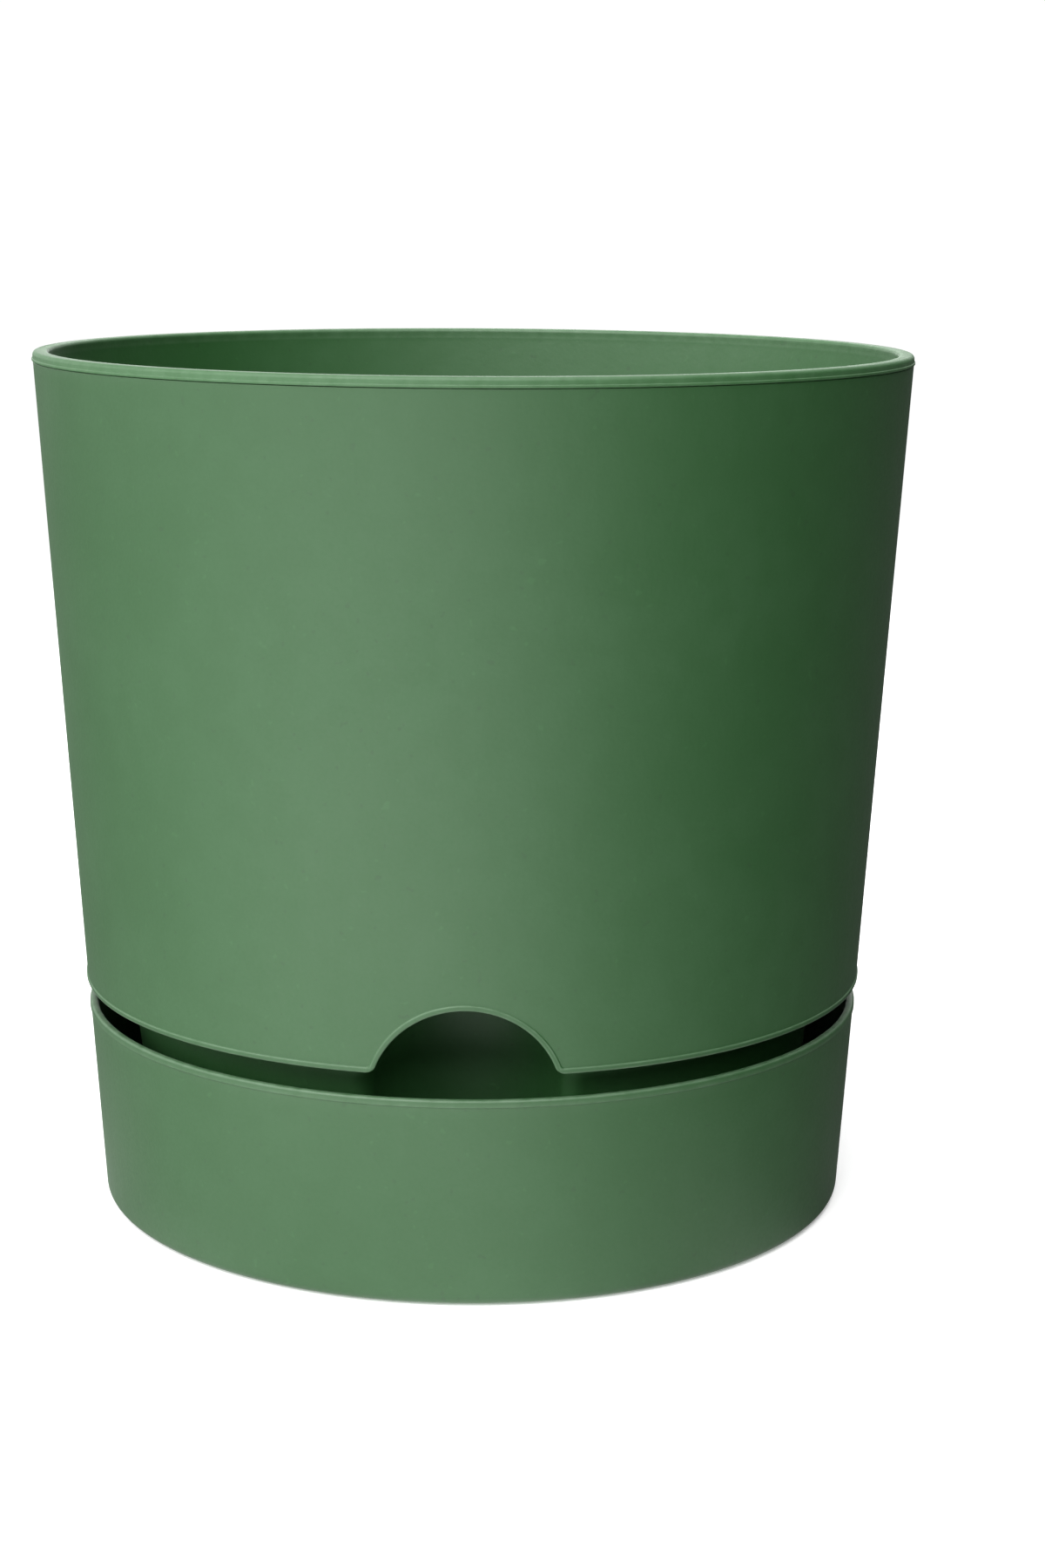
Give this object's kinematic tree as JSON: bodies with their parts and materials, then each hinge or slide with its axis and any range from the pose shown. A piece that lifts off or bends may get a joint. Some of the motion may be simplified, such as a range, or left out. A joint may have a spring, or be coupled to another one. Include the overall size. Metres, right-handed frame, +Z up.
{
  "type": "self watering planter",
  "caption": "Round tapered self watering planter: a pot clipped in a notched shell stands in a reservoir saucer, with a soil platform and wick baskets inside.",
  "frame": {"origin": "centre of the saucer's base, on the surface that the planter stands on", "axes": "+Z up out of the pot's mouth; -Y towards the watering notch; +X to the right as seen from the notch"},
  "size_m": [0.254, 0.254, 0.25],
  "materials": {
    "saucer_plastic": "sage green satin-matte moulded polypropylene",
    "pot_plastic": "sage green satin-matte moulded polypropylene",
    "shell_plastic": "sage green satin-matte moulded polypropylene",
    "insert_plastic": "charcoal matte moulded polypropylene"
  },
  "bodies": {
    "saucer": {"reservoir_saucer": "saucer_plastic"},
    "pot": {"inner_pot": "pot_plastic", "outer_shell": "shell_plastic"},
    "platform": {"soil_platform": "insert_plastic"},
    "basket_left": {"wick_basket_left": "insert_plastic"},
    "basket_right": {"wick_basket_right": "insert_plastic"},
    "basket_rear": {"wick_basket_rear": "insert_plastic"}
  },
  "joints": [
    {"name": "pot_lift", "type": "slide", "parent": "saucer", "child": "pot", "axis": [0, 0, 1], "range_m": [0, 0.09]},
    {"name": "platform_lift", "type": "slide", "parent": "pot", "child": "platform", "axis": [0, 0, 1], "range_m": [0, 0.25]},
    {"name": "basket_left_lift", "type": "slide", "parent": "platform", "child": "basket_left", "axis": [0, 0, 1], "range_m": [0, 0.065]},
    {"name": "basket_right_lift", "type": "slide", "parent": "platform", "child": "basket_right", "axis": [0, 0, 1], "range_m": [0, 0.065]},
    {"name": "basket_rear_lift", "type": "slide", "parent": "platform", "child": "basket_rear", "axis": [0, 0, 1], "range_m": [0, 0.065]}
  ]
}
